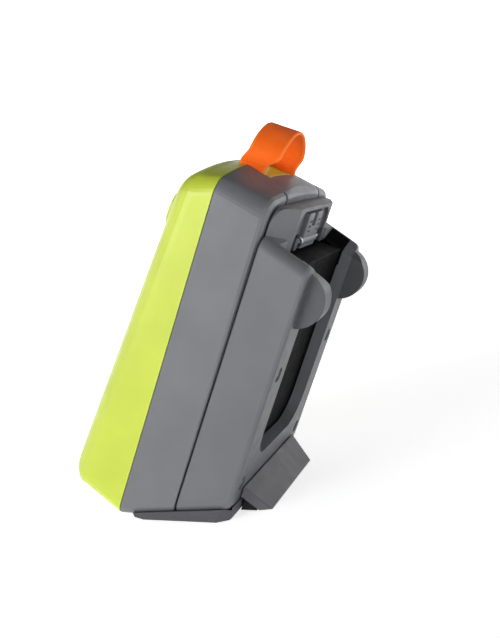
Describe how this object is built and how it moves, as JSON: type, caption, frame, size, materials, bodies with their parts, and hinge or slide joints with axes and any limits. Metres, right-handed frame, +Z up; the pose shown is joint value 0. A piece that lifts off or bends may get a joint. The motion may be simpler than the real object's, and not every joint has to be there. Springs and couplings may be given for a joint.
{
  "type": "handheld gps unit",
  "caption": "Rugged handheld GPS unit standing on a sloped base, with a guarded rear battery bay, front keys and display, a hinged port door and a webbing loop.",
  "frame": {"origin": "centre of the sole's flat underside, on the ground plane", "axes": "+Z up, +X to the unit's right as seen from the front, +Y from the display side to the battery side"},
  "size_m": [0.0892, 0.1059, 0.1455],
  "materials": {
    "lime_plastic": "satin moulded plastic, lime",
    "grey_plastic": "fine-textured moulded plastic, mid grey",
    "rear_grey_plastic": "fine-textured moulded plastic, mid grey",
    "dark_plastic": "dark grey moulded plastic",
    "black_plastic": "black moulded plastic",
    "key_rubber": "matt rubber, dark grey",
    "seal_rubber": "matt rubber, black",
    "sole_rubber": "matt rubber, dark grey",
    "orange_webbing": "woven webbing, orange",
    "lens_glass": "clear hard-coated window",
    "screen": "dark display stack",
    "steel": "plain steel",
    "brass_contact": "plated contact",
    "circuit_board": "solder-masked board",
    "antenna_ceramic": "fired ceramic"
  },
  "bodies": {
    "unit": {"antenna_patch": "antenna_ceramic", "backup_cell": "steel", "base_sole": "sole_rubber", "battery_contact_1": "brass_contact", "battery_contact_2": "brass_contact", "battery_contact_3": "brass_contact", "bay_liner": "black_plastic", "case_seal": "seal_rubber", "display_lens": "lens_glass", "display_panel": "screen", "display_seal": "seal_rubber", "display_tray": "steel", "foot_pad": "seal_rubber", "frame_screw_lower_left": "steel", "frame_screw_lower_right": "steel", "frame_screw_upper_left": "steel", "frame_screw_upper_right": "steel", "front_cover": "lime_plastic", "groove_seal": "seal_rubber", "keypad_membrane": "seal_rubber", "latch_bracket": "dark_plastic", "latch_pin": "steel", "latch_spring": "steel", "light_sensor": "lens_glass", "main_board": "circuit_board", "mid_housing": "grey_plastic", "port_hinge_pin": "steel", "power_dome": "seal_rubber", "rear_foot": "rear_grey_plastic", "rear_frame": "rear_grey_plastic", "shield_can": "steel", "speaker": "dark_plastic", "strap_anchor_left": "steel", "strap_anchor_right": "steel", "strap_loop": "orange_webbing", "usb_socket": "steel"},
    "key_enter": {"key_enter": "key_rubber"},
    "key_right": {"key_right": "key_rubber"},
    "key_up": {"key_up": "key_rubber"},
    "key_left": {"key_left": "key_rubber"},
    "key_down": {"key_down": "key_rubber"},
    "key_zoom_in": {"key_zoom_in": "key_rubber"},
    "key_zoom_out": {"key_zoom_out": "key_rubber"},
    "key_menu": {"key_menu": "key_rubber"},
    "key_back": {"key_back": "key_rubber"},
    "key_power": {"key_power": "key_rubber"},
    "battery": {"battery_pack": "black_plastic"},
    "latch": {"latch_lever": "grey_plastic"},
    "port_door": {"port_door": "seal_rubber"}
  },
  "joints": [
    {"name": "key_enter_press", "type": "slide", "parent": "unit", "child": "key_enter", "axis": [0, 0.8839, -0.4677], "range_m": [0, 0.0008], "stiffness_N_per_m": 1500, "springref_m": -0.0004},
    {"name": "key_right_press", "type": "slide", "parent": "unit", "child": "key_right", "axis": [0, 0.8839, -0.4677], "range_m": [0, 0.0008], "stiffness_N_per_m": 1500, "springref_m": -0.0004},
    {"name": "key_up_press", "type": "slide", "parent": "unit", "child": "key_up", "axis": [0, 0.8839, -0.4677], "range_m": [0, 0.0008], "stiffness_N_per_m": 1500, "springref_m": -0.0004},
    {"name": "key_left_press", "type": "slide", "parent": "unit", "child": "key_left", "axis": [0, 0.8839, -0.4677], "range_m": [0, 0.0008], "stiffness_N_per_m": 1500, "springref_m": -0.0004},
    {"name": "key_down_press", "type": "slide", "parent": "unit", "child": "key_down", "axis": [0, 0.8839, -0.4677], "range_m": [0, 0.0008], "stiffness_N_per_m": 1500, "springref_m": -0.0004},
    {"name": "key_zoom_in_press", "type": "slide", "parent": "unit", "child": "key_zoom_in", "axis": [0, 0.8839, -0.4677], "range_m": [0, 0.0008], "stiffness_N_per_m": 1500, "springref_m": -0.0004},
    {"name": "key_zoom_out_press", "type": "slide", "parent": "unit", "child": "key_zoom_out", "axis": [0, 0.8839, -0.4677], "range_m": [0, 0.0008], "stiffness_N_per_m": 1500, "springref_m": -0.0004},
    {"name": "key_menu_press", "type": "slide", "parent": "unit", "child": "key_menu", "axis": [0, 0.8839, -0.4677], "range_m": [0, 0.0008], "stiffness_N_per_m": 1500, "springref_m": -0.0004},
    {"name": "key_back_press", "type": "slide", "parent": "unit", "child": "key_back", "axis": [0, 0.8839, -0.4677], "range_m": [0, 0.0008], "stiffness_N_per_m": 1500, "springref_m": -0.0004},
    {"name": "key_power_press", "type": "slide", "parent": "unit", "child": "key_power", "axis": [0, 0.8839, -0.4677], "range_m": [0, 0.0008], "stiffness_N_per_m": 1500, "springref_m": -0.0004},
    {"name": "battery_slide", "type": "slide", "parent": "unit", "child": "battery", "axis": [0, 0.9171, -0.3987], "range_m": [0, 0.03]},
    {"name": "latch_tilt", "type": "hinge", "parent": "unit", "child": "latch", "pos_m": [0, 0.04362, 0.09993], "axis": [1, 0, 0], "range_deg": [0, 7], "stiffness_Nm_per_rad": 0.05, "springref_deg": -5.73},
    {"name": "port_door_swing", "type": "hinge", "parent": "unit", "child": "port_door", "pos_m": [-0.04355, 0.00497, 0.06309], "axis": [0, 0.3987, 0.9171], "range_deg": [0, 95]}
  ]
}
